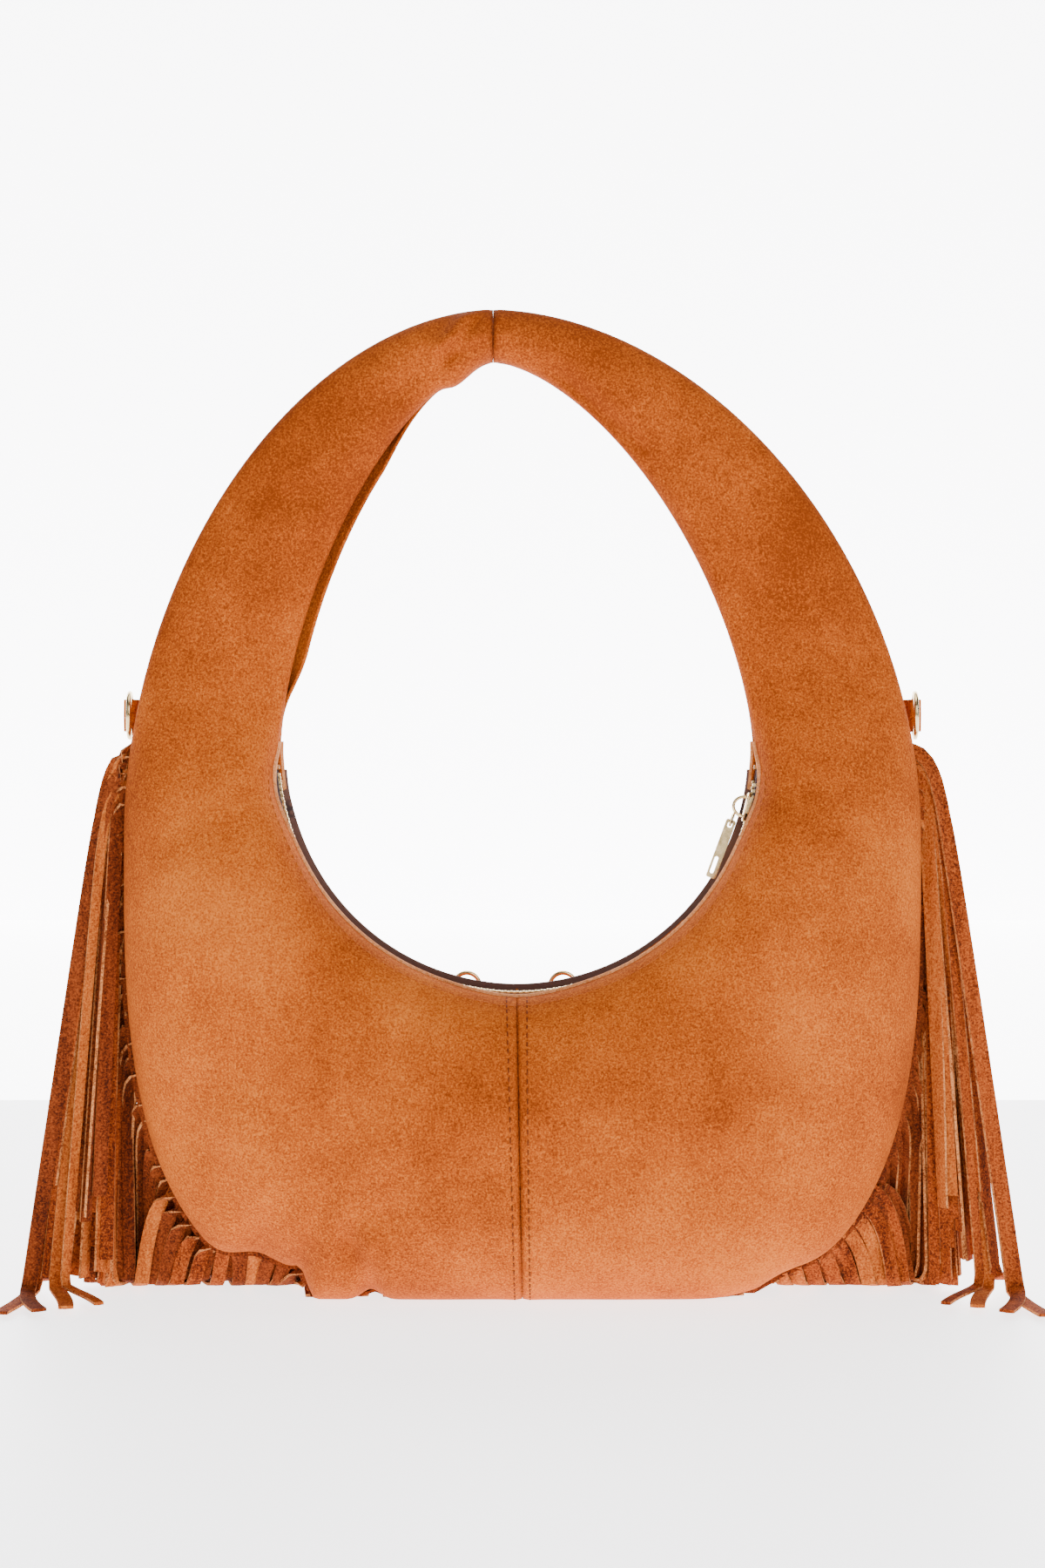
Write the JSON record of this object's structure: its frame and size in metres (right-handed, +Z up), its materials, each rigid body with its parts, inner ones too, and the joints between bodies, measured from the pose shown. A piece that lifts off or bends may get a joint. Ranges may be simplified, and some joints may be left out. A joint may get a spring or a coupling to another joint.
{
  "type": "fringed suede shoulder bag",
  "caption": "Crescent shoulder bag in soft suede: one-piece hobo shape with a zipped curved mouth, metal rings on suede tabs and a long cut fringe sewn into the lower seam.",
  "frame": {"origin": "middle of the flat base, in the plane of the seam between back and front", "axes": "+Z up, +Y towards the fringed front, +X to the right when the plain back is seen"},
  "size_m": [0.47, 0.2488, 0.472],
  "materials": {
    "suede": "brushed cognac suede, napped, with lighter and darker strokes",
    "fringe_suede": "cut suede strips, redder and darker than the body, raw edges",
    "lining_cloth": "plain woven brown lining",
    "padding_foam": "soft off-white filler inside the strap",
    "zip_tape": "dark maroon-brown woven zip tape",
    "gold_metal": "pale champagne gold plating, polished"
  },
  "bodies": {
    "bag": {"back_panel_left": "suede", "back_panel_right": "suede", "base_fringe_left": "fringe_suede", "base_fringe_right": "fringe_suede", "front_panel_left": "suede", "front_panel_right": "suede", "front_tab_left": "suede", "front_tab_right": "suede", "lining_back": "lining_cloth", "lining_front": "lining_cloth", "side_fringe_left": "fringe_suede", "side_fringe_right": "fringe_suede", "side_tab_left": "suede", "side_tab_right": "suede", "strap_padding_left": "padding_foam", "strap_padding_right": "padding_foam", "zip_stop_left": "gold_metal", "zip_stop_right": "gold_metal", "zip_tape_back": "zip_tape", "zip_tape_front": "zip_tape", "zip_teeth_back": "gold_metal", "zip_teeth_front": "gold_metal"},
    "slider": {"zip_slider": "gold_metal"},
    "pull": {"zip_pull": "gold_metal", "pull_link": "gold_metal"},
    "side_ring_left_body": {"side_ring_left": "gold_metal"},
    "side_ring_right_body": {"side_ring_right": "gold_metal"},
    "front_ring_left_body": {"front_ring_left": "gold_metal"},
    "front_ring_right_body": {"front_ring_right": "gold_metal"}
  },
  "joints": [
    {"name": "zip_travel", "type": "hinge", "parent": "bag", "child": "slider", "pos_m": [-0.0027, 0, 0.26], "axis": [0, 1, 0], "range_deg": [-4, 150]},
    {"name": "pull_swing", "type": "hinge", "parent": "slider", "child": "pull", "pos_m": [0.10099, 0, 0.23125], "axis": [0, 1, 0], "range_deg": [0, 112]},
    {"name": "side_ring_left_swing", "type": "hinge", "parent": "bag", "child": "side_ring_left_body", "pos_m": [-0.1892, 0.012, 0.2785], "axis": [0, 0, -1], "range_deg": [0, 150]},
    {"name": "side_ring_right_swing", "type": "hinge", "parent": "bag", "child": "side_ring_right_body", "pos_m": [0.1892, 0.012, 0.2785], "axis": [0, 0, 1], "range_deg": [0, 150]},
    {"name": "front_ring_left_turn", "type": "hinge", "parent": "bag", "child": "front_ring_left_body", "pos_m": [-0.0275, 0.037, 0.146], "axis": [0, 1, 0], "continuous": true},
    {"name": "front_ring_right_turn", "type": "hinge", "parent": "bag", "child": "front_ring_right_body", "pos_m": [0.02, 0.037, 0.146], "axis": [0, 1, 0], "continuous": true}
  ]
}
